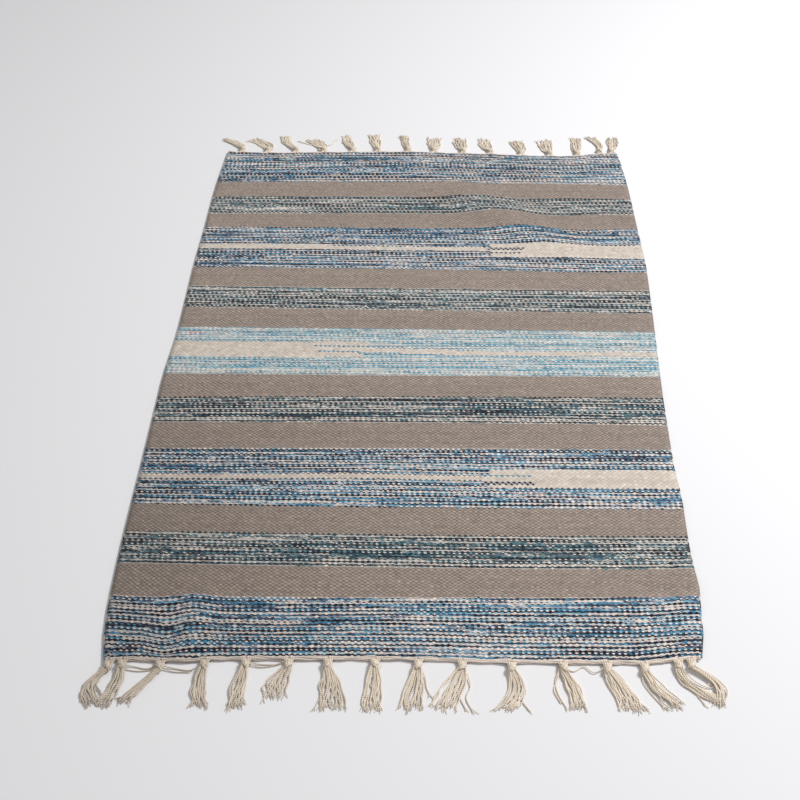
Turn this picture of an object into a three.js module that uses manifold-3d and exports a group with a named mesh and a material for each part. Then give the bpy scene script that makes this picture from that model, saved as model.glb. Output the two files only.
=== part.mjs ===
// A flat-woven cotton kilim, 600 by 900 mm, with knotted tassels at both short ends.
// Millimetres, +Z up. The origin is on the floor under the middle of the rug; +Y runs to the far end.
import * as THREE from "three";
import Module from "manifold-3d";

// Driving dimensions of the cloth
const THICKNESS = 4;
const EDGE_THICKNESS = 2.8;
const EDGE_BEVEL = 2.4;
const NOMINAL_WIDTH = 606;
const CELLS_ACROSS = 22;
const CELLS_ALONG = 32;
const GAP = 0.3;

// The selvedges: where the left and right edge of the cloth lie at each distance y from the middle
const SELVEDGES = [
  { y: -450, left: -291, right: 289.5 },
  { y: -435, left: -294.5, right: 295.5 },
  { y: -405, left: -298.5, right: 297 },
  { y: -362, left: -301, right: 300 },
  { y: -345, left: -301.5, right: 298.5 },
  { y: -300, left: -302.5, right: 297 },
  { y: -228, left: -303, right: 297.5 },
  { y: -211, left: -303, right: 295 },
  { y: -80, left: -304, right: 295 },
  { y: -40, left: -304.5, right: 296 },
  { y: 34, left: -301, right: 298 },
  { y: 115, left: -301, right: 300 },
  { y: 185, left: -301.5, right: 301 },
  { y: 255, left: -300, right: 298 },
  { y: 350, left: -299.5, right: 294.5 },
  { y: 410, left: -297, right: 290.5 },
  { y: 450, left: -294.5, right: 286 },
];

// The two woven ends: where the cloth stops at each place x across it
const ENDS = [
  { x: -303, near: -450, far: 455 },
  { x: -273, near: -448, far: 453 },
  { x: -228, near: -451, far: 451 },
  { x: -203, near: -448, far: 452 },
  { x: -3, near: -448, far: 454 },
  { x: 42, near: -449, far: 450 },
  { x: 87, near: -451, far: 449 },
  { x: 147, near: -452, far: 445 },
  { x: 197, near: -452, far: 442 },
  { x: 247, near: -453, far: 443 },
  { x: 272, near: -450, far: 447 },
  { x: 297, near: -447, far: 450 },
];

// Low ripples where the cloth lifts off the floor: an oval hump each, its long way turned from +X
const RIPPLES = [
  { x: 112, y: 290, turnDeg: -45, halfLength: 150, halfWidth: 46, height: 5 },
  { x: -211, y: -408, turnDeg: 84, halfLength: 75, halfWidth: 27, height: 2.5 },
  { x: 292, y: -368, turnDeg: 75, halfLength: 62, halfWidth: 30, height: 2 },
];

// The corded heading at each end, which the warp ends are drawn along to the knots
const HEADING_WIDTH = 4.5;
const HEADING_HEIGHT = 3.6;

// The outline of a soft cord lying on the floor, as shares of its width and height
const FOOT_SHARE = 0.55;
const BELLY_SHARE = 0.45;
const CROWN_SHARE = 0.6;

// The knots, and the locks of yarn that hang from each one
const KNOT = { width: 9, length: 8, height: 7.5 };
const KNOT_RINGS = [
  { along: 0, swell: 0.55 },
  { along: 0.35, swell: 1 },
  { along: 0.8, swell: 0.95 },
  { along: 1, swell: 0.8 },
];
const LOWER_LOCKS = 5;
const UPPER_LOCKS = 3;
const LOCK_HEIGHT = 2;
const ROOT_DEPTH = 1.2;
const ROOT_PITCH = 1.1;
const ROOT_LIFT = 1.2;
const LOCK_SHARE = 0.68;
const LOCK_STEPS = 3;
const LENGTH_VARIATION = 2.5;
const LOCK_PHASE = 2.4;
const TASSEL_PHASE = 1.7;

// Each tassel as it lies: the knot at x, its tips lean sideways, reach out and spread; bow bends the skirt
const NEAR_TASSELS = [
  { x: -286, lean: -13, reach: 45, spread: 13, bow: -3 },
  { x: -273, lean: -6, reach: 47, spread: 13, bow: -2 },
  { x: -236, lean: -26, reach: 44, spread: 11, bow: -2 },
  { x: -193, lean: 2, reach: 49, spread: 15, bow: -2 },
  { x: -153, lean: -4, reach: 49, spread: 11, bow: 1 },
  { x: -111, lean: -10, reach: 39, spread: 19, bow: -3 },
  { x: -73, lean: 6, reach: 52, spread: 18, bow: 2 },
  { x: -27, lean: 0, reach: 52, spread: 20, bow: -2 },
  { x: 15, lean: -5, reach: 52, spread: 20, bow: -1 },
  { x: 58, lean: -17, reach: 50, spread: 24, bow: 2 },
  { x: 106, lean: -3, reach: 49, spread: 19, bow: 3 },
  { x: 156, lean: 11, reach: 48, spread: 9, bow: 3 },
  { x: 199, lean: 16, reach: 48, spread: 20, bow: 2 },
  { x: 235, lean: 24, reach: 45, spread: 12, bow: -2 },
  { x: 268, lean: 26, reach: 46, spread: 12, bow: -4 },
  { x: 281, lean: 25, reach: 47, spread: 7, bow: 4 },
];
const FAR_TASSELS = [
  { x: -273, lean: -27, reach: 37, spread: 12, bow: 5 },
  { x: -235, lean: -21, reach: 39, spread: 20, bow: 5 },
  { x: -193, lean: -19, reach: 46, spread: 17, bow: -4 },
  { x: -151, lean: -20, reach: 38, spread: 28, bow: 2 },
  { x: -108, lean: -12, reach: 46, spread: 16, bow: -2 },
  { x: -71, lean: -7, reach: 47, spread: 18, bow: -1 },
  { x: -25, lean: -8, reach: 45, spread: 13, bow: 2 },
  { x: 14, lean: 0, reach: 42, spread: 24, bow: -1 },
  { x: 57, lean: -5, reach: 43, spread: 17, bow: 1 },
  { x: 98, lean: -8, reach: 41, spread: 25, bow: -3 },
  { x: 144, lean: -6, reach: 39, spread: 25, bow: 4 },
  { x: 186, lean: -4, reach: 44, spread: 26, bow: -4 },
  { x: 228, lean: 0, reach: 50, spread: 18, bow: -2 },
  { x: 261, lean: -10, reach: 48, spread: 18, bow: 5 },
  { x: 279, lean: 3, reach: 42, spread: 16, bow: 1 },
];

const wasm = await Module();
wasm.setup();

// One smooth curve through a column of a table
function smoothColumn(rows, at, column) {
  const last = rows.length - 1;
  const slope = rows.map((row, i) => {
    const before = rows[Math.max(i - 1, 0)];
    const after = rows[Math.min(i + 1, last)];
    return (after[column] - before[column]) / (after[at] - before[at]);
  });
  return (value) => {
    const held = THREE.MathUtils.clamp(value, rows[0][at], rows[last][at]);
    let i = 0;
    while (i < last - 1 && held > rows[i + 1][at]) {
      i += 1;
    }
    const run = rows[i + 1][at] - rows[i][at];
    const t = (held - rows[i][at]) / run;
    const blend = t * t * (3 - 2 * t);
    const bend = run * t * (1 - t);
    const level = rows[i][column] * (1 - blend) + rows[i + 1][column] * blend;
    return level + bend * (slope[i] * (1 - t) - slope[i + 1] * t);
  };
}

const leftEdge = smoothColumn(SELVEDGES, "y", "left");
const rightEdge = smoothColumn(SELVEDGES, "y", "right");
const nearEnd = smoothColumn(ENDS, "x", "near");
const farEnd = smoothColumn(ENDS, "x", "far");

// How far the cloth stands off the floor: nothing at all outside the ripples
function lift(x, y) {
  let height = 0;
  for (const ripple of RIPPLES) {
    const turn = THREE.MathUtils.degToRad(ripple.turnDeg);
    const dx = x - ripple.x;
    const dy = y - ripple.y;
    const along = (dx * Math.cos(turn) + dy * Math.sin(turn)) / ripple.halfLength;
    const across = (dy * Math.cos(turn) - dx * Math.sin(turn)) / ripple.halfWidth;
    const inside = Math.max(0, 1 - along * along - across * across);
    height += ripple.height * inside * inside;
  }
  return height;
}

// A closed solid through rings of points, which all turn the same way round and have convex outlines
function loft(rings) {
  const count = rings[0].length;
  const index = [];
  for (let r = 0; r + 1 < rings.length; r += 1) {
    for (let k = 0; k < count; k += 1) {
      const a = r * count + k;
      const b = r * count + ((k + 1) % count);
      index.push(a, b, b + count, a, b + count, a + count);
    }
  }
  const end = (rings.length - 1) * count;
  for (let low = 0, high = count - 1; high - low > 1; ) {
    index.push(low, high, low + 1);
    index.push(end + low, end + low + 1, end + high);
    low += 1;
    if (high - low > 1) {
      index.push(low, high, high - 1);
      index.push(end + low, end + high - 1, end + high);
      high -= 1;
    }
  }
  const geometry = new THREE.BufferGeometry().setFromPoints(rings.flat());
  geometry.setIndex(index);
  return geometry;
}

// The places of the grid lines across one way of the cloth, with one close to each edge for the bevel
function gridShares(cells, length) {
  const bevel = EDGE_BEVEL / length;
  const inner = Array.from({ length: cells - 1 }, (_, i) => (i + 1) / cells);
  return [0, bevel, ...inner, 1 - bevel, 1];
}

const ACROSS_SHARES = gridShares(CELLS_ACROSS, NOMINAL_WIDTH);
const ALONG_SHARES = gridShares(CELLS_ALONG, farEnd(0) - nearEnd(0));

// A point of the cloth's underside: across runs from 0 at the left selvedge, along from 0 at the near end
function clothPoint(across, along) {
  const nominal = (across - 0.5) * NOMINAL_WIDTH;
  const y = nearEnd(nominal) + along * (farEnd(nominal) - nearEnd(nominal));
  const x = leftEdge(y) + across * (rightEdge(y) - leftEdge(y));
  return new THREE.Vector3(x, y, lift(x, y));
}

// How far a woven end reaches at x, on the straight stretches between the grid lines
function endReach(x, along) {
  const points = ACROSS_SHARES.map((across) => clothPoint(across, along));
  const next = points.findIndex((point) => point.x >= x);
  const a = points[next - 1];
  const b = points[next];
  return THREE.MathUtils.lerp(a.y, b.y, (x - a.x) / (b.x - a.x));
}

// The woven cloth: a flat underside, raised only in the ripples, and a top one thickness above it
function wovenField() {
  const rings = ALONG_SHARES.map((along) => {
    const under = ACROSS_SHARES.map((across) => clothPoint(across, along));
    const top = under.map((point, i) => {
      const rim = along === 0 || along === 1 || i === 0 || i === under.length - 1;
      return new THREE.Vector3(point.x, point.y, point.z + (rim ? EDGE_THICKNESS : THICKNESS));
    });
    return [...under, ...top.reverse()];
  });
  return loft(rings.reverse());
}

// A flat-bottomed outline of six points, centred at 0 and standing on 0
function sixSided(width, height) {
  const foot = (FOOT_SHARE * width) / 2;
  const belly = width / 2;
  const crown = (CROWN_SHARE * width) / 2;
  const bellyHeight = BELLY_SHARE * height;
  return [
    [-foot, 0],
    [foot, 0],
    [belly, bellyHeight],
    [crown, height],
    [-crown, height],
    [-belly, bellyHeight],
  ];
}

// The heading: a low cord along one woven end, clear of the cloth by the gap
function heading(along) {
  const outward = along === 0 ? -1 : 1;
  const outline = sixSided(HEADING_WIDTH, HEADING_HEIGHT);
  const rings = ACROSS_SHARES.slice(1, -1).map((across) => {
    const end = clothPoint(across, along);
    const middle = end.y + outward * (GAP + HEADING_WIDTH / 2);
    return outline.map(([y, z]) => new THREE.Vector3(end.x, middle + y, end.z + z));
  });
  return loft(rings);
}

// The head of a tassel: a lump on the floor, from y = 0 outward
function knotBody() {
  const rings = KNOT_RINGS.map(({ along, swell }) => {
    const outline = sixSided(KNOT.width * swell, KNOT.height * swell);
    return outline.map(([x, z]) => new THREE.Vector3(x, along * KNOT.length, z));
  });
  return loft(rings.reverse());
}

// One three-sided lock of yarn on the floor or on the locks below it; place counts pitches from the middle
function lock(tassel, place, layer, lengthChange) {
  const rings = [];
  const rootY = KNOT.length - ROOT_DEPTH;
  const tipPitch = tassel.spread / LOWER_LOCKS;
  for (let step = 0; step <= LOCK_STEPS; step += 1) {
    const change = step === LOCK_STEPS ? lengthChange : 0;
    const run = ((tassel.reach - rootY) * step) / LOCK_STEPS + change;
    const share = run / (tassel.reach - rootY);
    const pitch = ROOT_PITCH + (tipPitch - ROOT_PITCH) * share;
    const sway = tassel.lean * share + tassel.bow * 4 * share * (1 - share);
    const x = sway + place * pitch;
    const half = (pitch * LOCK_SHARE) / 2;
    const base = (step === 0 ? ROOT_LIFT : 0) + layer * (LOCK_HEIGHT + GAP);
    rings.push([
      new THREE.Vector3(x - half, rootY + run, base),
      new THREE.Vector3(x + half, rootY + run, base),
      new THREE.Vector3(x, rootY + run, base + LOCK_HEIGHT),
    ]);
  }
  return loft(rings.reverse());
}

// Several closed solids joined into one
function fuse(geometries) {
  const solids = geometries.map((geometry) => {
    const vertProperties = geometry.getAttribute("position").array;
    const triVerts = new Uint32Array(geometry.index.array);
    return new wasm.Manifold(new wasm.Mesh({ numProp: 3, vertProperties, triVerts }));
  });
  const whole = solids.reduce((sum, solid) => sum.add(solid)).getMesh();
  const geometry = new THREE.BufferGeometry();
  geometry.setAttribute("position", new THREE.BufferAttribute(whole.vertProperties, 3));
  geometry.setIndex(new THREE.BufferAttribute(whole.triVerts, 1));
  return geometry;
}

// A tassel in its own frame, with its skirt along +Y
function tasselBody(tassel, number) {
  const pieces = [knotBody()];
  const longer = (k) => LENGTH_VARIATION * Math.sin(LOCK_PHASE * k + TASSEL_PHASE * number);
  for (let k = 0; k < LOWER_LOCKS; k += 1) {
    pieces.push(lock(tassel, k - (LOWER_LOCKS - 1) / 2, 0, longer(k)));
  }
  for (let k = 0; k < UPPER_LOCKS; k += 1) {
    pieces.push(lock(tassel, k - (UPPER_LOCKS - 1) / 2, 1, longer(k + LOWER_LOCKS) - LENGTH_VARIATION));
  }
  return fuse(pieces);
}

const cloth = new THREE.MeshStandardMaterial({ color: 0x8a8480, roughness: 0.95, metalness: 0 });
const ecru = new THREE.MeshStandardMaterial({ color: 0xd6c3a6, roughness: 0.9, metalness: 0 });

function named(name, geometry, material) {
  const mesh = new THREE.Mesh(geometry, material.clone());
  mesh.name = name;
  return mesh;
}

// One row of tassels, set side by side along a woven end; the near row is turned half round
function tasselRow(label, rows, along) {
  const row = new THREE.Group();
  const outward = along === 0 ? -1 : 1;
  const standOff = GAP + HEADING_WIDTH + GAP;
  const backHalf = (KNOT.width * KNOT_RINGS[0].swell) / 2;
  rows.forEach((tassel, i) => {
    const reaches = [-backHalf, 0, backHalf].map((side) => outward * endReach(tassel.x + side, along));
    const rootY = outward * (Math.max(...reaches) + standOff);
    const asLaid = { ...tassel, lean: outward * tassel.lean, bow: outward * tassel.bow };
    const number = String(i + 1).padStart(2, "0");
    const mesh = named("tassel_" + label + "_" + number, tasselBody(asLaid, i), ecru);
    mesh.position.set(tassel.x, rootY, 0);
    mesh.rotation.z = along === 0 ? Math.PI : 0;
    row.add(mesh);
  });
  return row;
}

const kilim = new THREE.Group();
kilim.add(named("woven_field", wovenField(), cloth));
kilim.add(named("heading_near", heading(0), ecru));
kilim.add(named("heading_far", heading(1), ecru));
kilim.add(tasselRow("near", NEAR_TASSELS, 0));
kilim.add(tasselRow("far", FAR_TASSELS, 1));

export default kilim;
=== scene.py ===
import math

import bpy
import numpy as np
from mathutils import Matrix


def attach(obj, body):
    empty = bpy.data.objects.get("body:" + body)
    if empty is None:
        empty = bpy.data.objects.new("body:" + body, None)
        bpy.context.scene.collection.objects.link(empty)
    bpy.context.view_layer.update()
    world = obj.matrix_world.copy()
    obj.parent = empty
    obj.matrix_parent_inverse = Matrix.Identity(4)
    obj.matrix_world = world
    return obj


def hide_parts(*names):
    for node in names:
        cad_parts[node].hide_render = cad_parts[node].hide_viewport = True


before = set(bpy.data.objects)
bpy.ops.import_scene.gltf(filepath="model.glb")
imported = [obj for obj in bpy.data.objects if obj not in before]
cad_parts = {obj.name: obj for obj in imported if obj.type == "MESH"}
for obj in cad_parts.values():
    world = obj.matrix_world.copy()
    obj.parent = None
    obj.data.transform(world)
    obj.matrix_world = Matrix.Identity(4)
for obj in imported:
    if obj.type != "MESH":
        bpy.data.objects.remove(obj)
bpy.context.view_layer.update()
rng = np.random.default_rng(41)

MM = 0.001

# The cloth: its warps, its thickness, the top and foot of its rim, the width and length that its tables are
# laid out on, and its flat size in metres
WARPS = 199
THICKNESS = 4.0
RIM_TOP = 2.9
RIM_FOOT = 0.7
WIDTH = 606.0
LENGTH = 900.0

# Each band from the near end: its yarn, the height of one pick, and where its far edge lies at the left,
# the middle and the right of the cloth
BANDS = [
    ("blue", 2.5, -372.3, -375.3, -374.3),
    ("taupe", 2.2, -330.1, -336.1, -338.1),
    ("teal", 2.3, -286.5, -292.5, -295.0),
    ("taupe", 2.2, -247.5, -253.5, -256.5),
    ("blue", 2.5, -163.3, -164.3, -166.8),
    ("taupe", 2.2, -121.1, -122.1, -127.1),
    ("teal", 2.3, -79.5, -78.5, -81.5),
    ("taupe", 2.2, -37.0, -41.0, -44.0),
    ("pale", 2.4, 49.9, 44.9, 38.9),
    ("taupe", 2.2, 89.5, 82.5, 75.5),
    ("teal", 2.3, 133.0, 127.0, 122.0),
    ("taupe", 2.2, 172.7, 167.7, 160.7),
    ("blue", 2.5, 264.0, 260.0, 258.0),
    ("taupe", 2.2, 295.5, 295.5, 291.5),
    ("teal", 2.3, 336.5, 335.5, 329.5),
    ("taupe", 2.2, 373.5, 373.5, 364.5),
    ("blue", 2.5, None, None, None),
]

# Plain picks laid into a band: its place in BANDS, the first and last pick, the warps between which they
# show, and their yarn. A later row covers an earlier one
INLAYS = [
    (4, 16, 18, 0, 131, "cream"),
    (4, 12, 22, 130, 199, "cream"),
    (4, 14, 15, 127, 145, "navy"),
    (4, 19, 19, 127, 144, "azure"),
    (8, 13, 24, 0, 61, "cream"),
    (8, 23, 25, 59, 80, "cream"),
    (8, 14, 17, 59, 78, "cream"),
    (8, 19, 21, 59, 82, "cream"),
    (8, 18, 20, 78, 98, "cream"),
    (8, 17, 19, 94, 116, "cream"),
    (8, 16, 18, 110, 199, "cream"),
    (8, 22, 22, 58, 94, "azure"),
    (8, 18, 18, 60, 77, "azure"),
    (8, 17, 17, 77, 94, "azure"),
    (8, 16, 16, 93, 110, "azure"),
    (8, 15, 15, 108, 165, "azure"),
    (8, 31, 31, 5, 10, "rose"),
    (12, 17, 20, 0, 59, "cream"),
    (12, 17, 19, 59, 131, "cream"),
    (12, 12, 22, 131, 199, "cream"),
    (12, 18, 19, 130, 145, "navy"),
    (12, 15, 15, 130, 144, "navy"),
    (12, 23, 23, 162, 196, "navy"),
    (1, 0, 0, 124, 125, "navy"),
    (13, 0, 0, 125, 130, "navy"),
    (16, 27, 28, 185, 199, "navy"),
    (16, 28, 28, 106, 111, "navy"),
]

# Where the picks bow away from their straight course: the middle of each bow, the turn of its long way
# from +X, its reach along and across that way, and how far the picks shift towards the far end
BOWS = [
    (118, 285, -43, 124, 29, 4.4),
    (203, 285, -43, 110, 26, -3.5),
    (225, 165, 0, 60, 20, -3.0),
    (-241, -424, 0, 17, 32, -4.2),
    (-219, -382, 0, 15, 32, 2.6),
    (-205, -424, 0, 17, 26, 1.6),
    (-268, -376, 0, 24, 20, -1.2),
    (-303, -415, 0, 24, 30, 3.5),
    (-123, -395, 0, 60, 18, -1.2),
    (-20, -410, 0, 70, 16, 1.0),
    (140, -330, 0, 120, 30, -1.0),
    (-150, 210, 0, 120, 22, 1.2),
    (-60, -206, 0, 100, 16, 3.0),
    (-60, 0, 0, 90, 26, -1.5),
]

# The ripples of the cloth, as in the part's source: middle, turn, half length, half width and height
RIPPLES = [
    (112, 290, -45, 150, 46, 5.0),
    (-211, -408, 84, 75, 27, 2.5),
    (292, -368, 75, 62, 30, 2.0),
]

# The weft yarns. The marled ones change colour along their length: each colour starts at this share of a
# run. The plain ones keep one colour, and all but the cream have a pale flank on their far side
MARLS = {
    "teal": [(0.0, (30, 34, 44)), (0.25, (50, 84, 98)), (0.38, (96, 134, 144)), (0.50, (214, 206, 197)),
             (0.80, (140, 138, 136)), (0.90, (84, 80, 82))],
    "blue": [(0.0, (29, 28, 40)), (0.24, (54, 76, 100)), (0.31, (76, 134, 164)), (0.47, (140, 182, 200)),
             (0.55, (224, 213, 205)), (0.84, (156, 154, 164)), (0.92, (80, 80, 96))],
    "pale": [(0.0, (84, 142, 168)), (0.13, (132, 178, 194)), (0.32, (184, 203, 205)),
             (0.46, (222, 213, 204)), (0.84, (168, 184, 188)), (0.95, (112, 128, 138))],
}
PLAINS = {"cream": (217, 205, 192), "navy": (44, 56, 78), "azure": (92, 146, 170), "rose": (214, 118, 134)}
TAUPE = (151, 137, 127)
PALE_FLANK = (226, 212, 202)
FAMILIES = {name: number for number, name in enumerate(["taupe", *MARLS, *PLAINS])}

# The undyed yarn of the tassels and of the headings: its darker and lighter colour. The headings have a
# pinker copy of it, painted lighter to offset the shade they lie in
TASSEL_COLOURS = ((232, 214, 192), (250, 238, 221))
HEADING_LIGHTENED_COLOURS = ((250, 231, 217), (255, 243, 232))

# How the yarn's colour runs: the step from one strand's start to the next one's, in runs, the places along
# a pick where it is worked out, how far it strays at the first place, how much of that it keeps from one
# place to the next, and what each place adds
RUN_STEP = (0.60, 0.78)
RUN_PLACES = 60
RUN_STRAYS = 0.10
RUN_KEEPS = 0.85
RUN_ADDS = 0.055

# How uneven the weave is: the spread of its points, of its tone from pick to pick and from float to float,
# and of the colour runs in the middle strand and the side strands of a float
UNEVEN_X = 0.26
UNEVEN_Y = 0.2
UNEVEN_Z = 0.08
PICK_TONES = 0.035
FLOAT_TONES = 0.075
MIDDLE_RUNS = 0.07
SIDE_RUNS = 0.06

# The undyed yarn: its radius, its sides, and the length of one turn of its plies, then two other radii
YARN_RADIUS = 0.8
YARN_SIDES = 7
PLY_PITCH = 2.4
STRAY_RADIUS = 0.55
SELVEDGE_RADIUS = 1.35

# A knot: its length, its wound turns with their half width, middle height and half height, and the yarns
# that feed it with their half width at the cloth and how much they draw in
KNOT_LENGTH = 8.0
KNOT_TURNS = 6
KNOT_HALF_WIDTH = 2.9
KNOT_MIDDLE = 3.9
KNOT_HALF_HEIGHT = 2.6
FEEDING_YARNS = 7
FEEDING_HALF_WIDTH = 5.0
FEEDING_DRAWS_IN = 2.8

# A skirt: its strands, where they leave the knot and their width there. Then, at each end of the rug, how
# much wider than its solid it spreads, how loosely its strands lie, and how far they pass its end. They
# stop short of it, because their cut ends open and reach on
STRANDS = 15
STRAND_STEPS = 30
SKIRT_START = KNOT_LENGTH - 2.8
SKIRT_ROOT_WIDTH = 8.5
SKIRT_AT = {"near": (1.5, 0.13, -5.5), "far": (-1.0, 0.08, -6.5)}

# How a skirt lies beside its solid: how far its tips swing to the right, how far its middle bows to the
# right, and how wide it spreads for its width there
SWEEPS = {
    "tassel_near_01": (5, -6, 1.15),
    "tassel_near_02": (-2, 2, 1.0),
    "tassel_near_03": (0, 3, 0.85),
    "tassel_near_15": (7, -3, 0.75),
    "tassel_near_16": (-3, 8, 0.6),
}

# Yarns that stray from their tassel or hang loose: the node they come from, and points (X, Y) on their way
STRAYS = [
    ("tassel_near_09", [(15, -457), (22, -468), (24, -480), (27, -488)]),
    ("tassel_near_10", [(58, -459), (52, -472), (53, -484), (62, -505)]),
    ("tassel_near_10", [(60, -459), (66, -478), (62, -492), (68, -506)]),
    ("tassel_near_11", [(106, -459), (117, -478), (114, -492), (121, -505)]),
    ("tassel_near_12", [(153, -459), (148, -473), (150, -488), (157, -503)]),
    ("tassel_near_12", [(152, -459), (150, -471), (146, -483), (151, -496)]),
    ("tassel_near_13", [(198, -457), (186, -464), (176, -457), (166, -462), (156, -457)]),
    ("tassel_near_13", [(199, -458), (210, -472), (219, -484), (230, -505)]),
    ("tassel_near_13", [(200, -458), (209, -476), (222, -490), (226, -506)]),
    ("tassel_near_13", [(201, -458), (214, -473), (221, -491), (233, -503)]),
    ("tassel_near_14", [(234, -459), (232, -472), (238, -486), (249, -502)]),
    ("tassel_near_15", [(270, -458), (282, -474), (296, -481), (302, -474), (295, -466)]),
    ("tassel_near_16", [(281, -458), (297, -470), (292, -480), (282, -486), (288, -499)]),
    ("tassel_near_02", [(-275, -455), (-263, -461), (-247, -461), (-238, -456)]),
    ("tassel_near_02", [(-276, -454), (-259, -457), (-248, -459), (-238, -455)]),
    ("tassel_near_03", [(-236, -457), (-224, -462), (-210, -463), (-203, -462)]),
    ("tassel_near_03", [(-236, -456), (-220, -459), (-208, -461), (-201, -460)]),
    ("tassel_near_05", [(-151, -453), (-140, -457), (-128, -456), (-116, -452)]),
    ("tassel_near_05", [(-151, -452), (-138, -454), (-124, -454), (-113, -451)]),
    ("tassel_near_06", [(-111, -457), (-122, -470), (-128, -482), (-131, -494)]),
    ("tassel_near_07", [(-68, -457), (-79, -476), (-77, -488), (-81, -502)]),
    ("tassel_near_08", [(-20, -457), (-31, -472), (-27, -486), (-33, -503)]),
    ("tassel_far_04", [(-158, 459), (-164, 474), (-178, 480), (-190, 486)]),
    ("tassel_far_04", [(-158, 459), (-156, 472), (-143, 478), (-137, 490)]),
    ("tassel_far_04", [(-157, 459), (-152, 482), (-162, 490), (-170, 484)]),
]

# The yarns of a heading, from the cloth outwards: how far each lies beyond the woven end, and its height.
# Those after the third hang slack between the knots
HEADING_YARNS = [(-0.9, 3.3), (-0.5, 3.2), (-0.1, 2.9), (0.25, 2.3), (0.0, 1.3)]
FIRST_SLACK = 3
HEADING_STEP = 2.2

# The camera, from the photograph: its place, its fall below level, its lens, and the sideways shift
CAMERA_PLACE = (0.0627, -1.1604, 1.0302)
CAMERA_FALL = 43.64
CAMERA_LENS = 56.475
CAMERA_SHIFT = -0.0838

# The studio: the strength of its sky, and its one square lamp
SKY_STRENGTH = 0.41
LAMP_PLACE = (1.7, 0.45, 2.0)
LAMP_AIM = (0.05, -0.05, 0)
LAMP_SIZE = 0.55
LAMP_POWER = 60


# Small helpers for shader nodes
def add(tree, kind, values=None, **settings):
    made = tree.nodes.new("ShaderNode" + kind)
    for name, value in settings.items():
        setattr(made, name, value)
    for key, value in (values or {}).items():
        if isinstance(value, bpy.types.NodeSocket):
            tree.links.new(value, made.inputs[key])
        else:
            made.inputs[key].default_value = value
    return made


def math_node(tree, operation, *terms):
    return add(tree, "Math", dict(enumerate(terms)), operation=operation).outputs[0]


def times(tree, value, factor):
    return math_node(tree, "MULTIPLY", value, factor)


def scaled(tree, value, factor, start):
    return math_node(tree, "MULTIPLY_ADD", value, factor, start)


def power(tree, value, exponent):
    return math_node(tree, "POWER", value, exponent)


def size_of(tree, value):
    return math_node(tree, "ABSOLUTE", value)


def mix_colour(tree, share, a, b):
    return add(tree, "Mix", {0: share, 6: a, 7: b}, data_type="RGBA").outputs[2]


def mix_value(tree, share, a, b):
    return add(tree, "Mix", {0: share, 2: a, 3: b}).outputs[0]


def shade_colour(tree, colour, depth):
    return add(tree, "VectorMath", {0: colour, 3: depth}, operation="SCALE").outputs[0]


def steps_of_colour(tree, share, stops):
    made = add(tree, "ValToRGB", {0: share})
    made.color_ramp.interpolation = "CONSTANT"
    elements = made.color_ramp.elements
    while len(elements) < len(stops):
        elements.new(1.0)
    for element, (place, colour) in zip(elements, stops):
        element.position = place
        element.color = srgb(*colour)
    return made.outputs[0]


def srgb(r, g, b):
    linear = [((c / 255 + 0.055) / 1.055) ** 2.4 if c > 10 else c / 255 / 12.92 for c in (r, g, b)]
    return (*linear, 1.0)


def attribute(tree, name):
    return add(tree, "Attribute", attribute_name=name).outputs["Fac"]


def noise(tree, place, scale, detail, roughness=0.5):
    values = {"Vector": place, "Scale": scale, "Detail": detail, "Roughness": roughness}
    return add(tree, "TexNoise", values).outputs[0]


# From one value where the share is 0 to the other where it is 1
def between(tree, share, at_none, at_all):
    return scaled(tree, share, at_all - at_none, at_none)


# How far a share lies from one half, from 0 in the middle to 1 at either end
def centred(tree, share):
    return size_of(tree, scaled(tree, share, 2.0, -1.0))


# One where the yarn is this one, or stands beside it in FAMILIES by no more than so many places
def chosen(tree, family, name, either_side=0):
    return math_node(tree, "COMPARE", family, float(FAMILIES[name]), either_side + 0.1)


# A new material with its tree, and the plain parts of a matt thread's shader
def new_material(name):
    material = bpy.data.materials.new(name)
    material.use_nodes = True
    material.node_tree.nodes.clear()
    return material, material.node_tree


def matt_thread(tree, colour, bump, roughness, specular, sheen):
    shader = add(tree, "BsdfPrincipled", {
        "Base Color": colour, "Normal": bump.outputs[0], "Roughness": roughness,
        "Specular IOR Level": specular, "Sheen Weight": sheen, "Sheen Roughness": 0.5,
    })
    add(tree, "OutputMaterial", {0: shader.outputs[0]})


# How high a float stands: round between its edges both ways, with a pit at its left and right corners
def float_dome(tree, along, across, sideways):
    height_across, height_along, foot, pit_depth, pit_sharpness = 0.52, 0.46, 0.02, 0.2, 5.0
    round_across = math_node(tree, "SUBTRACT", 1.0, power(tree, centred(tree, across), 2.0))
    round_along = math_node(tree, "SUBTRACT", 1.0, power(tree, centred(tree, along), 2.0))
    dome = scaled(tree, math_node(tree, "SQRT", round_across), height_across, foot)
    dome = scaled(tree, math_node(tree, "SQRT", round_along), height_along, dome)
    return scaled(tree, power(tree, size_of(tree, sideways), pit_sharpness), -pit_depth, dome)


# Each pick is three strands side by side, the middle one a short lens. One where a point is on the strand
# at the far or the near side, and how clear of the seams it is
def strands_of_pick(tree, sideways, rising):
    slant, lens_reach, lens_half, lens_taper, seam_sharpness = 0.1, 0.6, 0.37, 2.2, 7.0
    stripe = scaled(tree, sideways, slant, rising)
    taper = power(tree, size_of(tree, math_node(tree, "DIVIDE", sideways, lens_reach)), lens_taper)
    lens = math_node(tree, "MAXIMUM", scaled(tree, taper, -lens_half, lens_half), 0.0)
    far_side = math_node(tree, "GREATER_THAN", stripe, lens)
    near_side = math_node(tree, "LESS_THAN", stripe, times(tree, lens, -1.0))
    from_seam = size_of(tree, math_node(tree, "SUBTRACT", size_of(tree, stripe), lens))
    clear = math_node(tree, "MINIMUM", times(tree, from_seam, seam_sharpness), 1.0)
    return far_side, near_side, clear


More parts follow.
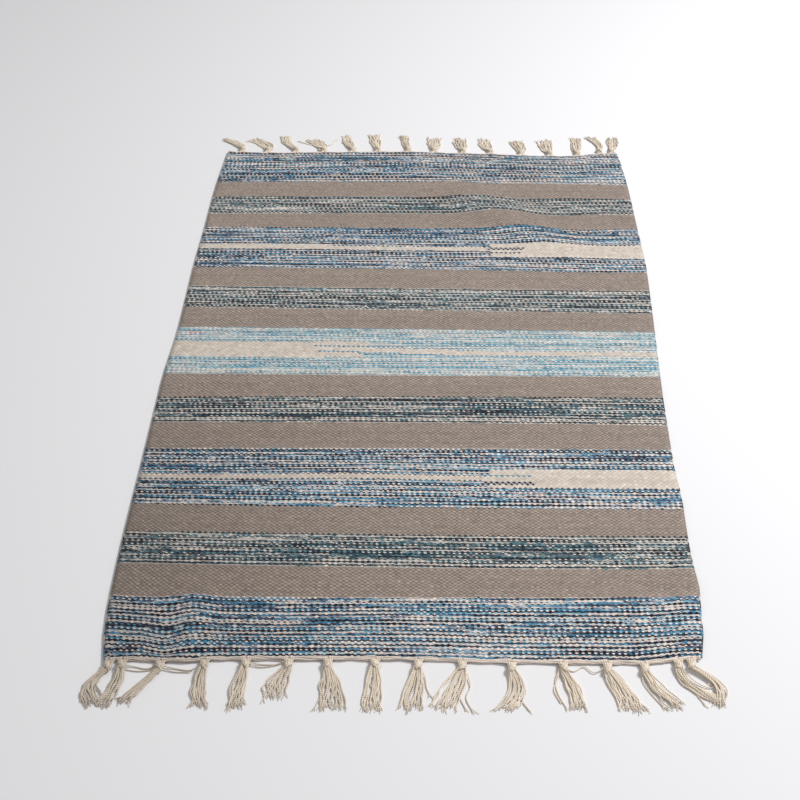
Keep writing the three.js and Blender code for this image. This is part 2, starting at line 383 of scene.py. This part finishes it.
# The colour of the weft: each yarn's own, by its run, with a pale flank beside the plain laid-in picks
def weft_colour(tree, family, run, far_side):
    colour = shade_colour(tree, srgb(*TAUPE)[:3], between(tree, run, 0.87, 1.13))
    for name, stops in MARLS.items():
        colour = mix_colour(tree, chosen(tree, family, name), colour, steps_of_colour(tree, run, stops))
    for name, plain in PLAINS.items():
        colour = mix_colour(tree, chosen(tree, family, name), colour, srgb(*plain))
    flank = times(tree, chosen(tree, family, "azure", either_side=1), far_side)
    return mix_colour(tree, flank, colour, srgb(*PALE_FLANK))


# Painted shade on the weft, as how much light it keeps: less off the crown of a float, above all in taupe,
# and less in a seam between strands, above all in the three marls. The fibre noise and the mesh's tone,
# with its painted corner shade, scale it too
def weft_painted_shade_and_tone(tree, family, dome, clear, fibre):
    middling_dome, middling_depth, middling_seam = 0.7, 0.93, 0.8
    contrast = between(tree, chosen(tree, family, "taupe"), 0.46, 1.40)
    depth = scaled(tree, math_node(tree, "SUBTRACT", dome, middling_dome), contrast, middling_depth)
    groove = between(tree, chosen(tree, family, "blue", either_side=1), 0.12, 0.42)
    cleft = times(tree, math_node(tree, "SUBTRACT", clear, middling_seam), groove)
    depth = scaled(tree, cleft, depth, depth)
    depth = times(tree, depth, between(tree, fibre, 0.82, 1.18))
    return times(tree, depth, attribute(tree, "tone"))


# The woven cotton: each float takes its yarn, its tone, with the painted corner shade in it, and its runs
# of colour from the mesh
def woven_material():
    seam_relief, ply_relief, fibre_relief = 0.15, 0.06, 0.22
    material, tree = new_material("woven_cotton")
    local = add(tree, "SeparateXYZ", {0: add(tree, "UVMap", uv_map="Float").outputs[0]})
    along, across = local.outputs[0], local.outputs[1]
    place = add(tree, "TexCoord").outputs["Object"]
    rising = math_node(tree, "SUBTRACT", across, along)
    sideways = math_node(tree, "ADD", math_node(tree, "ADD", across, along), -1.0)
    dome = float_dome(tree, along, across, sideways)
    far_side, near_side, clear = strands_of_pick(tree, sideways, rising)
    ply = math_node(tree, "SINE", scaled(tree, along, 9.0, times(tree, across, 13.0)))
    fibre = noise(tree, place, 1400.0, 3.0, 0.6)

    drift = mix_value(tree, far_side, attribute(tree, "run_a"), attribute(tree, "run_b"))
    drift = mix_value(tree, near_side, drift, attribute(tree, "run_c"))
    run = math_node(tree, "FRACT", scaled(tree, ply, 0.015, drift))
    family = attribute(tree, "family")
    colour = weft_colour(tree, family, run, far_side)
    shaded = shade_colour(tree, colour, weft_painted_shade_and_tone(tree, family, dome, clear, fibre))

    height = times(tree, dome, between(tree, chosen(tree, family, "taupe"), 0.6, 0.9))
    height = scaled(tree, clear, seam_relief, height)
    height = scaled(tree, ply, ply_relief, height)
    height = scaled(tree, fibre, fibre_relief, height)
    bump = add(tree, "Bump", {"Strength": 1.0, "Distance": 0.0009, "Height": height})
    matt_thread(tree, shaded, bump, roughness=0.92, specular=0.18, sheen=0.15)
    return material


# The undyed yarn: two plies that wind round each other, soft and a little fuzzy
def yarn_material(name, dark, light):
    material, tree = new_material(name)
    local = add(tree, "SeparateXYZ", {0: add(tree, "UVMap", uv_map="Yarn").outputs[0]})
    turn = scaled(tree, local.outputs[0], 2.0, local.outputs[1])
    ply = size_of(tree, math_node(tree, "SINE", times(tree, turn, math.pi)))
    place = add(tree, "TexCoord").outputs["Object"]
    fibre = noise(tree, place, 1800.0, 4.0, 0.65)
    cloud = noise(tree, place, 90.0, 2.0)
    base = mix_colour(tree, cloud, srgb(*dark), srgb(*light))
    # Painted shade in the grooves between the plies, then the fibre's own tone and the tone with its
    # painted corner shade
    depth = between(tree, ply, 0.74, 1.04)
    depth = times(tree, depth, between(tree, fibre, 0.88, 1.12))
    depth = times(tree, depth, attribute(tree, "tone"))
    shaded = shade_colour(tree, base, depth)
    height = scaled(tree, fibre, 0.5, ply)
    bump = add(tree, "Bump", {"Strength": 0.7, "Distance": 0.0003, "Height": height})
    matt_thread(tree, shaded, bump, roughness=0.88, specular=0.2, sheen=0.2)
    return material


# A mesh from its points and faces, with values for each corner (uvs) and for each face
def mesh_object(name, points, faces, material, uvs, values):
    mesh = bpy.data.meshes.new(name)
    mesh.from_pydata((np.asarray(points) * MM).tolist(), [], [list(map(int, f)) for f in faces])
    for uv_name, coordinates in uvs.items():
        layer = mesh.uv_layers.new(name=uv_name)
        layer.data.foreach_set("uv", np.asarray(coordinates, np.float32).ravel())
    for value_name, numbers in values.items():
        layer = mesh.attributes.new(value_name, "FLOAT", "FACE")
        layer.data.foreach_set("value", np.asarray(numbers, np.float32))
    mesh.materials.append(material)
    mesh.shade_smooth()
    made = bpy.data.objects.new(name, mesh)
    bpy.context.scene.collection.objects.link(made)
    return made


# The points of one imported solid
def node_points(name):
    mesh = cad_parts[name].data
    points = np.zeros(len(mesh.vertices) * 3)
    mesh.vertices.foreach_get("co", points)
    return points.reshape(-1, 3) / MM


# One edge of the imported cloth, as a function of the place along it
def edge_line(points, axis, side):
    window, rim_width = 9, 0.9
    other = 1 - axis
    kept = []
    for p in points:
        beside = points[abs(points[:, other] - p[other]) < window]
        rim = (beside[:, axis] * side).max()
        if p[axis] * side > rim - rim_width:
            kept.append((p[other], p[axis]))
    kept = np.array(sorted(kept))
    return lambda value: np.interp(value, kept[:, 0], kept[:, 1])


cloth_points = node_points("woven_field")
left_edge = edge_line(cloth_points, 0, -1)
right_edge = edge_line(cloth_points, 0, 1)
near_end = edge_line(cloth_points, 1, -1)
far_end = edge_line(cloth_points, 1, 1)


# A place seen from the middle of a ripple or bow, in shares of its reach along and across its long way
def seen_from(x, y, middle_x, middle_y, turn, reach, width):
    a = math.radians(turn)
    dx, dy = x - middle_x, y - middle_y
    along = (dx * math.cos(a) + dy * math.sin(a)) / reach
    across = (dy * math.cos(a) - dx * math.sin(a)) / width
    return along, across


# How far the ripples lift the cloth off the floor
def lift(x, y):
    height = np.zeros(np.shape(x))
    for *ripple, rise in RIPPLES:
        along, across = seen_from(x, y, *ripple)
        height += rise * np.maximum(0, 1 - along**2 - across**2) ** 2
    return height


# How far the bows shift a pick towards the far end
def bow(x, y):
    shift = np.zeros(np.shape(x))
    for *middle_and_reach, amount in BOWS:
        along, across = seen_from(x, y, *middle_and_reach)
        shift += amount * np.exp(-(along**2) - across**2)
    return shift


# How many picks each band has
def band_picks():
    counts = []
    near = -LENGTH / 2
    for _, pitch, _, middle, _ in BANDS:
        far = LENGTH / 2 if middle is None else middle
        counts.append(round((far - near) / pitch))
        near = far
    return np.array(counts)


FIRST_PICK = np.concatenate([[0], np.cumsum(band_picks())])
ALL_PICKS = int(FIRST_PICK[-1])


# Where the ends of the cloth and the edges of its bands lie, at this share of the way across
def edge_curves(share):
    nominal = (share - 0.5) * WIDTH
    curves = [near_end(nominal)]
    for _, _, left, middle, right in BANDS[:-1]:
        bend = 2 * (left + right - 2 * middle)
        level = middle + (right - left) * (share - 0.5) + bend * (share - 0.5) ** 2
        curves.append(level)
    curves.append(far_end(nominal))
    return np.array(curves)


# Where a pick lies at this share of the way across. The bows fade out at the ends of the cloth
def cloth_place(share, pick):
    bow_fade = 10
    curves = edge_curves(share)
    y = np.array([np.interp(p, FIRST_PICK, curves[:, i]) for i, p in enumerate(pick)])
    nominal = (share - 0.5) * WIDTH
    room = np.minimum(y - near_end(nominal), far_end(nominal) - y)
    y = y + bow(nominal, y) * np.clip(room / bow_fade, 0, 1)
    x = left_edge(y) + spaced(share) * (right_edge(y) - left_edge(y))
    return x, y


# The warps stand a little closer here, a little further apart there
def spaced(share):
    slow_sway, quick_sway, edge_fade = 0.0011, 0.0005, 1 / 12
    sway = slow_sway * np.sin(46 * share + 0.5) + quick_sway * np.sin(101 * share + 2)
    return share + sway * np.clip(np.minimum(share, 1 - share) / edge_fade, 0, 1)


# Painted shade: the colour is made darker towards the near left corner, where less light falls, and a
# little darker towards the far right one
def painted_corner_shade(x, y):
    near_left_depth, reach_across, reach_along, far_right_depth = 0.32, 210, 400, 0.15
    from_left = np.maximum(x + WIDTH / 2, 0)
    from_near = np.maximum(y + LENGTH / 2, 0)
    near_left = np.exp(-((from_left / reach_across) ** 1.6)) * np.exp(-((from_near / reach_along) ** 2.4))
    far_right = np.minimum(from_left / WIDTH, 1) * np.minimum(from_near / LENGTH, 1)
    return 1 - near_left_depth * near_left - far_right_depth * far_right


# Runs of colour, two strands for each pick: each starts about two thirds of a run after the last, and its
# colour drifts slowly along the pick
def colour_runs():
    strands = 2 * (ALL_PICKS + 4)
    starts = np.cumsum(rng.uniform(*RUN_STEP, strands))
    drift = [rng.normal(0, RUN_STRAYS, strands)]
    for _ in range(RUN_PLACES - 1):
        drift.append(RUN_KEEPS * drift[-1] + rng.normal(0, RUN_ADDS, strands))
    drift = np.array(drift).T
    places = np.linspace(0, RUN_PLACES - 1, WARPS)
    low = np.minimum(places.astype(int), RUN_PLACES - 2)
    share = places - low
    runs = drift[:, low] * (1 - share) + drift[:, low + 1] * share
    return runs + starts[:, None]


RUNS = colour_runs()


# The yarn of a float: its band's, or that of the last inlay that covers it
def float_family(warp, pick):
    band = np.clip(np.searchsorted(FIRST_PICK, pick, side="right") - 1, 0, len(BANDS) - 1)
    names = np.array([FAMILIES[b[0]] for b in BANDS])
    family = names[band].astype(float)
    within = pick - FIRST_PICK[band]
    for place, first, last, start, end, name in INLAYS:
        inside = (band == place) & (within >= first) & (within <= last) & (warp >= start) & (warp <= end)
        family[inside] = FAMILIES[name]
    return family


# One side of the cloth as a grid turned by half a right angle, so that each face is one float of weft: its
# points (share of the way across, pick), its faces with the local place of each corner, and each one's
# warp and pick. Faces that shrink to nothing at the rim are left out
def float_grid():
    index = {}
    faces, corners, warp, pick = [], [], [], []
    local = [(0, 0), (1, 0), (1, 1), (0, 1)]
    for i in range(-1, WARPS + 1):
        for k in range(-1 - (i % 2 == 0), ALL_PICKS + 1):
            if (i + k) % 2:
                continue
            ring = []
            for a, b in ((i - 1, k), (i, k - 1), (i + 1, k), (i, k + 1)):
                place = (min(max(a + 0.5, 0), WARPS), min(max(b + 0.5, 0), ALL_PICKS))
                ring.append(index.setdefault(place, len(index)))
            kept = [n for n in range(4) if ring[n] != ring[n - 1]]
            faces.append([ring[n] for n in kept])
            corners.append([local[n] for n in kept])
            warp.append(min(max(i, 0), WARPS - 1))
            pick.append(min(max(k, 0), ALL_PICKS - 1))
    points = np.array(list(index), float)
    sized = [n for n, f in enumerate(faces) if len(f) > 2 and area(points[f]) > 0.01]
    faces, corners, warp, pick = ([rows[n] for n in sized] for rows in (faces, corners, warp, pick))
    points[:, 0] /= WARPS
    return points, faces, corners, np.array(warp), np.array(pick)


def area(ring):
    x, y = ring[:, 0], ring[:, 1]
    return 0.5 * abs(np.dot(x, np.roll(y, -1)) - np.dot(y, np.roll(x, -1)))


# The narrow side faces, from the loop of edges that only one face of the top uses, and that face of each
def side_faces(faces, count):
    seen = {}
    for number, f in enumerate(faces):
        for a, b in zip(f, f[1:] + f[:1]):
            if (b, a) in seen:
                del seen[b, a]
            else:
                seen[a, b] = number
    sides = [[b, a, a + count, b + count] for a, b in seen]
    return sides, list(seen.values())


# The layout for baking: the top on the left half, the underside on the right half, and the sides beside the
# top, whose lower points move out a little so that each side face keeps an area
def bake_layout(points, faces, tops):
    half, tall, out = 318.0, 470.0, 3
    bake = []
    for number, f in enumerate(faces):
        for v in f:
            px, py = points[v, 0], points[v, 1]
            if number >= 2 * tops and v >= len(points) // 2:
                px += out * math.copysign(1, px) * (abs(px) > 280)
                py += out * math.copysign(1, py) * (abs(py) > 430)
            shown = (px / half + 1) / 4
            down = tops <= number < 2 * tops
            bake.append((shown + (0.5 if down else 0), (py / tall + 1) / 2))
    return bake


def build_field(material):
    grid, faces, corners, warp, pick = float_grid()
    share, picks = grid[:, 0], grid[:, 1]
    x, y = cloth_place(share, picks)
    rim = (share == 0) | (share == 1) | (picks == 0) | (picks == ALL_PICKS)
    base = lift(x, y)
    unevenness = np.where(rim, 0, rng.normal(0, UNEVEN_Z, len(x)))
    x = x + np.where(rim, 0, rng.normal(0, UNEVEN_X, len(x)))
    y = y + np.where(rim, 0, rng.normal(0, UNEVEN_Y, len(x)))
    top = base + np.where(rim, RIM_TOP, THICKNESS) + unevenness
    foot = base + np.where(rim, RIM_FOOT, 0.0)
    points = np.concatenate([np.stack([x, y, top], 1), np.stack([x, y, foot], 1)])
    under = [[v + len(x) for v in reversed(f)] for f in faces]
    under_corners = [list(reversed(c)) for c in corners]
    sides, owners = side_faces(faces, len(x))
    side_corners = [[(0, 0.3), (1, 0.3), (1, 0.5), (0, 0.5)] for _ in sides]
    all_faces = faces + under + sides
    float_uv = [c for group in corners + under_corners + side_corners for c in group]

    # The strand on the far side of a pick and the near one of the next pick run on as one wavy line
    run_a = RUNS[2 * pick + 1, warp] + rng.normal(0, MIDDLE_RUNS, len(pick))
    run_b = RUNS[2 * pick + 2, warp] + rng.normal(0, SIDE_RUNS, len(pick))
    run_c = RUNS[2 * pick, warp] + rng.normal(0, SIDE_RUNS, len(pick))
    pick_tone = rng.normal(1, PICK_TONES, ALL_PICKS + 3)[pick + 1]
    # Painted shade towards the near left and far right corners goes into each float's tone
    middle_y = np.interp(pick, FIRST_PICK, edge_curves(0.5))
    shade = painted_corner_shade((warp + 0.5) / WARPS * WIDTH - WIDTH / 2, middle_y)
    tone = pick_tone * shade * rng.normal(1, FLOAT_TONES, len(pick))
    family = float_family(warp, pick)
    values = {"family": family, "run_a": run_a, "run_b": run_b, "run_c": run_c, "tone": tone}
    for name, rows in values.items():
        values[name] = np.concatenate([rows, rows, rows[owners]])
    bake = bake_layout(points, all_faces, len(faces))
    return mesh_object("cloth", points, all_faces, material, {"Float": float_uv, "OFBake": bake}, values)


# Yarn as a tube: the points of its rings, its length so far at each ring, and its tone, with the painted
# corner shade at its first point
def yarn(path, radius=YARN_RADIUS, up=(0, 0, 1), tone=1.0):
    path = np.asarray(path, float)
    tone = tone * float(painted_corner_shade(path[0, 0], path[0, 1]))
    size = np.full(len(path), radius) if np.isscalar(radius) else np.asarray(radius, float)
    tangent = np.gradient(path, axis=0)
    tangent /= np.linalg.norm(tangent, axis=1)[:, None] + 1e-9
    side = np.cross(tangent, up)
    side /= np.linalg.norm(side, axis=1)[:, None] + 1e-9
    normal = np.cross(side, tangent)
    angle = 2 * math.pi * np.arange(YARN_SIDES) / YARN_SIDES
    ring = np.cos(angle)[None, :, None] * side[:, None] + np.sin(angle)[None, :, None] * normal[:, None]
    points = path[:, None] + size[:, None, None] * ring
    run = np.concatenate([[0], np.cumsum(np.linalg.norm(np.diff(path, axis=0), axis=1))])
    return {"points": points, "run": run, "tone": tone}


# The four points of one face of a tube, between ring i and the next one
def tube_face(start, i, j):
    k = (j + 1) % YARN_SIDES
    low = start + i * YARN_SIDES
    high = low + YARN_SIDES
    return low + j, low + k, high + k, high + j


# The corners of a face that spans two values one way and two the other, in the order of tube_face
def corners_between(left, right, low, high):
    return [(left, low), (right, low), (right, high), (left, high)]


# Yarns as one object. In the layout for baking each yarn has a column, with its end caps above and below
def yarn_object(name, yarns, material):
    gap, cap_room, cap_middle, cap_half_width, cap_half_height = 0.05, 0.03, 0.012, 0.4, 0.01
    points, faces, yarn_uv, bake, tone = [], [], [], [], []
    start = 0
    width = 1 / len(yarns)
    for number, y in enumerate(yarns):
        count = len(y["run"])
        points.append(y["points"].reshape(-1, 3))
        turns = y["run"] / PLY_PITCH
        shares = cap_room + (1 - 2 * cap_room) * y["run"] / y["run"][-1]
        for i in range(count - 1):
            for j in range(YARN_SIDES):
                a, b = j / YARN_SIDES, (j + 1) / YARN_SIDES
                left, right = ((number + gap + (1 - 2 * gap) * side) * width for side in (a, b))
                faces.append(tube_face(start, i, j))
                yarn_uv += corners_between(a, b, turns[i], turns[i + 1])
                bake += corners_between(left, right, shares[i], shares[i + 1])
                tone.append(y["tone"])
        for middle, row in ((cap_middle, 0), (1 - cap_middle, count - 1)):
            order = range(YARN_SIDES - 1, -1, -1) if row == 0 else range(YARN_SIDES)
            faces.append([start + row * YARN_SIDES + j for j in order])
            for j in order:
                angle = 2 * math.pi * j / YARN_SIDES
                yarn_uv.append((j / YARN_SIDES, turns[row]))
                across = (number + 0.5 + cap_half_width * math.cos(angle)) * width
                bake.append((across, middle + cap_half_height * math.sin(angle)))
            tone.append(y["tone"])
        start += count * YARN_SIDES
    uvs = {"Yarn": yarn_uv, "OFBake": bake}
    return mesh_object(name, np.concatenate(points), faces, material, uvs, {"tone": tone})


# How a packed tassel lies: its knot and root, its reach, and the middle of its skirt at each third of the
# way, with the width of its tips
def tassel_lie(name):
    past_knot, flat_rim, tip_rim = 6, 0.5, 3.2
    points = node_points(name)
    outward = -1 if "near" in name else 1
    y = points[:, 1] * outward
    root = y.min()
    knot_x = points[y < root + flat_rim, 0].mean()
    out = np.round(y - root, 1)
    places, counts = np.unique(out[out > past_knot], return_counts=True)
    stations = np.sort(places[np.argsort(-counts)[:3]])
    step = (stations[2] - stations[0]) / 2
    reach = stations[0] + 3 * step
    rings = [points[abs(out - station) < 0.3, 0] for station in stations]
    rings.append(points[out > reach - tip_rim, 0])
    middles = np.array([(x.max() + x.min()) / 2 for x in rings])
    return {"x": knot_x, "root": root * outward, "outward": outward, "reach": reach,
            "middles": middles, "tip_width": rings[-1].max() - rings[-1].min()}


# The skirt: strands that leave the knot close together and spread as they lie down, one over another
def skirt(lie, swing_out, bulge, spread_share):
    least_tip_width, packing = 12, 0.95
    made = []
    q = np.linspace(0, 1, STRAND_STEPS)
    extra, looseness, past_end = SKIRT_AT["near" if lie["outward"] < 0 else "far"]
    middle = np.polyval(np.polyfit([0, 1 / 3, 2 / 3, 1], lie["middles"], 3), q)
    middle = middle + swing_out * q**2 + bulge * np.sin(math.pi * q)
    tip_width = (max(lie["tip_width"], least_tip_width) + extra) * spread_share
    width = SKIRT_ROOT_WIDTH + (tip_width - SKIRT_ROOT_WIDTH) * (1 - (1 - q) ** 2.6)
    thick = 2 * YARN_RADIUS
    pile = np.maximum(0, STRANDS * thick**2 * packing / width - thick)
    places = (np.arange(STRANDS) + 0.5) / STRANDS - 0.5
    layers = rng.permutation(np.linspace(0, 1, STRANDS))
    lean = rng.normal(0, 1.6) * np.sin(math.pi * q)
    for k in range(STRANDS):
        length = rng.normal(past_end, 2.2)
        drift = rng.normal(0, looseness)
        swing = rng.uniform(0.5, 1.3)
        wave = swing * np.sin(2 * math.pi * (q * rng.uniform(1.1, 2.6) + rng.random())) * q**0.8
        slow = rng.normal(0, 1.5) * np.sin(math.pi * q * rng.uniform(0.8, 1.3))
        x = middle + (places[k] + drift * q) * (width - thick) + wave + slow + lean
        y = SKIRT_START + (lie["reach"] - SKIRT_START + length) * q + 0.4 * np.sin(7 * q + k) * q
        z = YARN_RADIUS + 0.16 + layers[k] * pile * (1 - 0.1 * q)
        z = z + 0.25 * (1 + np.sin(9 * q + k)) * (1 - q) + 1.4 * (1 - q) ** 6
        size = np.full(STRAND_STEPS, YARN_RADIUS) * rng.uniform(0.9, 1.1)
        size = size * (1 + 0.06 * np.sin(23 * q + 2 * k))
        size[-3:] *= (0.95, 0.85, 0.6)
        path = np.stack([x, lie["root"] + lie["outward"] * y, z], 1)
        tone = rng.normal(1, 0.07)
        made.append(yarn(path, size, tone=tone))
        made += frayed_end(path, tone)
    return made


# The cut end of a strand opens into fine plies
def frayed_end(path, tone):
    plies, steps, thick, thin = 3, 7, 0.42, 0.24
    made = []
    end = path[-2]
    way = path[-2] - path[-5]
    way = way / np.linalg.norm(way)
    side = np.array([way[1], -way[0], 0])
    for k in range(plies):
        length = rng.uniform(3.5, 8.0)
        spread = rng.normal(0, 0.24) + 0.2 * (k - 1)
        curl = rng.normal(0, 1.0)
        q = np.linspace(0, 1, steps)[:, None]
        course = end + way * length * q + side * (spread * length * q + curl * q**2 * (1 - 0.6 * q))
        course[:, 2] = np.maximum(end[2] * (1 - 0.8 * q[:, 0]) + 0.3, 0.36)
        made.append(yarn(course, np.linspace(thick, thin, steps), tone=tone * 1.03))
    return made


# A course through a few points, rounded at each of them
def rounded_course(points, per_leg=8):
    points = np.asarray(points, float)
    ends = np.concatenate([[2 * points[0] - points[1]], points, [2 * points[-1] - points[-2]]])
    course = []
    for a, b, c, d in zip(ends, ends[1:], ends[2:], ends[3:]):
        for q in np.arange(per_leg) / per_leg:
            course.append(0.5 * (2 * b + (c - a) * q + (2 * a - 5 * b + 4 * c - d) * q**2
                                 + (3 * b - a - 3 * c + d) * q**3))
    course.append(points[-1])
    return np.array(course)


# The strays of one tassel. One that ends about as far out as it starts is tied at both its ends
def strays(name):
    made = []
    for node, points in STRAYS:
        if node == name:
            flat = rounded_course(points)
            q = np.linspace(0, 1, len(flat))
            returns = len(points) == 4 and abs(points[0][1] - points[-1][1]) < 6
            z = 0.75 + 2.6 * np.abs(2 * q - 1) ** 3 if returns else 0.75 + 2.2 * (1 - q) ** 3
            path = np.column_stack([flat, z])
            made.append(yarn(path, STRAY_RADIUS, tone=rng.normal(1.02, 0.05)))
            if not returns:
                made += frayed_end(path, 1.0)
    return made


# The knot: turns of yarn wound round it, and the yarns that come over the heading to feed it
def knot(lie):
    made = []
    angle = np.linspace(0, 2 * math.pi, 19)
    lean = rng.choice([-1.0, 1.0])
    for k in range(KNOT_TURNS):
        share = (k + 0.5) / KNOT_TURNS
        swell = 0.66 + 0.42 * math.sin(math.pi * share)
        tilt = lean * rng.uniform(1.1, 1.9) * np.cos(angle + 0.5)
        x = lie["x"] + KNOT_HALF_WIDTH * swell * np.cos(angle) + rng.normal(0, 0.3)
        y = 0.3 + 0.75 * KNOT_LENGTH * share + tilt
        z = KNOT_MIDDLE + KNOT_HALF_HEIGHT * swell * np.sin(angle)
        path = np.stack([x, lie["root"] + lie["outward"] * y, z], 1)
        made.append(yarn(path, rng.uniform(0.85, 1.05), up=(0, 1, 0), tone=rng.normal(0.98, 0.07)))
    q = np.linspace(0, 1, 12)
    for k in range(FEEDING_YARNS):
        place = 2 * k / (FEEDING_YARNS - 1) - 1
        half_width = FEEDING_HALF_WIDTH - FEEDING_DRAWS_IN * np.sqrt(q)
        x = lie["x"] + place * half_width + 0.3 * np.sin(5 * q + k)
        y = -4.2 + 11.0 * q
        z = 3.0 + 1.2 * np.sin(math.pi * q) * (1 - abs(place)) + 0.5 * (k % 2)
        path = np.stack([x, lie["root"] + lie["outward"] * y, z], 1)
        made.append(yarn(path, tone=rng.normal(1, 0.06)))
    return made


# The heading: the warp ends lie along the woven end, and dip out into the knot at each side. Where two
# knots stand close together the yarns between them hang less slack
def heading_yarns(end, outward, lies):
    corner, inset, full_span = WIDTH / 2 - 3, 1.5, 40
    made = []
    knots = sorted(lie["x"] for lie in lies)
    stops = [left_edge(end(-corner)) + inset] + knots + [right_edge(end(corner)) - inset]
    for left, right in zip(stops, stops[1:]):
        run = right - left
        q = np.linspace(0, 1, max(6, int(run / HEADING_STEP)))
        x = left + run * q
        dip = np.abs(2 * q - 1) ** 2.2
        full = min(run / full_span, 1.0)
        for k, (beyond, height) in enumerate(HEADING_YARNS):
            slack = rng.uniform(-0.2, 1.2) * full
            out = beyond + dip * (0.2 + 0.5 * k) + slack * np.sin(math.pi * q) * (k >= FIRST_SLACK)
            out = out + 0.42 * np.sin(q * rng.uniform(5, 16) + k)
            z = height + 0.4 * np.sin(q * rng.uniform(3, 9) + 2 * k) + lift(x, end(x)) + 0.8 * dip
            path = np.stack([x, end(x) + outward * out, z], 1)
            made.append(yarn(path, rng.uniform(0.72, 0.84), tone=rng.normal(1, 0.05)))
    return made


# The selvedge: the weft turns back round the last warp, so it shows as a cord with a bead at every second
# pick, a little darker than the cloth
def selvedge(name, share, outward, material):
    middle_height, inset, bead, darker = 1.9, 0.5, 0.16, 0.97
    count = 2 * ALL_PICKS + 1
    picks = np.linspace(0, ALL_PICKS, count)
    x, y = cloth_place(np.full(count, float(share)), picks)
    z = lift(x, y) + middle_height
    size = SELVEDGE_RADIUS + bead * np.abs(np.sin(picks * math.pi / 2))
    tube = yarn(np.stack([x - inset * outward, y, z], 1), size)
    points = tube["points"].reshape(-1, 3)
    faces, corners, bake, pick = [], [], [], []
    for i in range(count - 1):
        for j in range(YARN_SIDES):
            a, b = j / YARN_SIDES, (j + 1) / YARN_SIDES
            faces.append(tube_face(0, i, j))
            corners += corners_between(a, b, (i % 4) / 4, (i % 4 + 1) / 4)
            bake += corners_between(a, b, i / count, (i + 1) / count)
            pick.append(i // 4 * 2)
    pick = np.array(pick)
    warp = 0 if share == 0 else WARPS - 1
    runs = RUNS[2 * pick + 1, warp]
    # Painted shade towards the near left and far right corners, as on the cloth
    shade = painted_corner_shade(points[0, 0], np.interp(pick, FIRST_PICK, edge_curves(0.5)))
    values = {"family": float_family(np.full(len(pick), warp), pick), "run_a": runs, "run_b": runs,
              "run_c": runs, "tone": darker * shade}
    return mesh_object(name, points, faces, material, {"Float": corners, "OFBake": bake}, values)


def build_rug():
    cloth_look = woven_material()
    yarn_look = yarn_material("ecru_yarn", *TASSEL_COLOURS)
    # The headings' yarn: a pinker copy of the tassel yarn, painted lighter against the shade it lies in
    edge_look = yarn_material("ecru_edge_painted_light", *HEADING_LIGHTENED_COLOURS)
    field = build_field(cloth_look)
    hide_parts("woven_field")
    trims = [selvedge("selvedge_left", 0, -1, cloth_look), selvedge("selvedge_right", 1, 1, cloth_look)]
    for label, end, outward in (("near", near_end, -1), ("far", far_end, 1)):
        names = sorted(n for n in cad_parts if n.startswith("tassel_" + label))
        lies = [tassel_lie(n) for n in names]
        heading = yarn_object("edge_" + label, heading_yarns(end, outward, lies), edge_look)
        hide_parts("heading_" + label)
        trims.append(heading)
        for name, lie in zip(names, lies):
            tied = knot(lie) + skirt(lie, *SWEEPS.get(name, (0, 0, 1))) + strays(name)
            tassel = yarn_object(name.replace("tassel", "tied"), tied, yarn_look)
            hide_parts(name)
            trims.append(tassel)
    for piece in [field] + trims:
        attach(piece, "root")


# The studio: a pale floor, a soft sky, and one lamp from the right and a little behind
def build_floor():
    half, below = 6.0, 0.0002
    mesh = bpy.data.meshes.new("floor")
    corners = [(-half, -half, 0), (half, -half, 0), (half, half, 0), (-half, half, 0)]
    mesh.from_pydata(corners, [], [(0, 1, 2, 3)])
    made = bpy.data.objects.new("floor", mesh)
    bpy.context.scene.collection.objects.link(made)
    material = bpy.data.materials.new("floor")
    material.use_nodes = True
    shader = material.node_tree.nodes["Principled BSDF"]
    shader.inputs["Base Color"].default_value = srgb(236, 235, 237)
    shader.inputs["Roughness"].default_value = 0.9
    mesh.materials.append(material)
    made.location.z = -below


def build_lamp():
    data = bpy.data.lights.new("key", "AREA")
    data.size = LAMP_SIZE
    data.energy = LAMP_POWER
    lamp = bpy.data.objects.new("key", data)
    lamp.location = LAMP_PLACE
    direction = np.array(LAMP_AIM, float) - np.array(LAMP_PLACE, float)
    fall = math.atan2(math.hypot(direction[0], direction[1]), -direction[2])
    lamp.rotation_euler = (fall, 0, math.atan2(direction[1], direction[0]) - math.pi / 2)
    bpy.context.scene.collection.objects.link(lamp)


def build_sky():
    world = bpy.data.worlds.new("studio")
    world.use_nodes = True
    background = world.node_tree.nodes["Background"]
    background.inputs["Color"].default_value = (1.0, 1.0, 1.0, 1.0)
    background.inputs["Strength"].default_value = SKY_STRENGTH
    bpy.context.scene.world = world


def build_camera():
    data = bpy.data.cameras.new("camera")
    data.sensor_width = 36
    data.lens = CAMERA_LENS
    data.shift_x = CAMERA_SHIFT
    data.clip_start = 0.02
    camera = bpy.data.objects.new("camera", data)
    camera.location = CAMERA_PLACE
    camera.rotation_euler = (math.radians(90 - CAMERA_FALL), 0, 0)
    bpy.context.scene.collection.objects.link(camera)
    bpy.context.scene.camera = camera


bpy.context.scene.view_settings.view_transform = "Standard"
build_floor()
build_sky()
build_lamp()
build_camera()
build_rug()
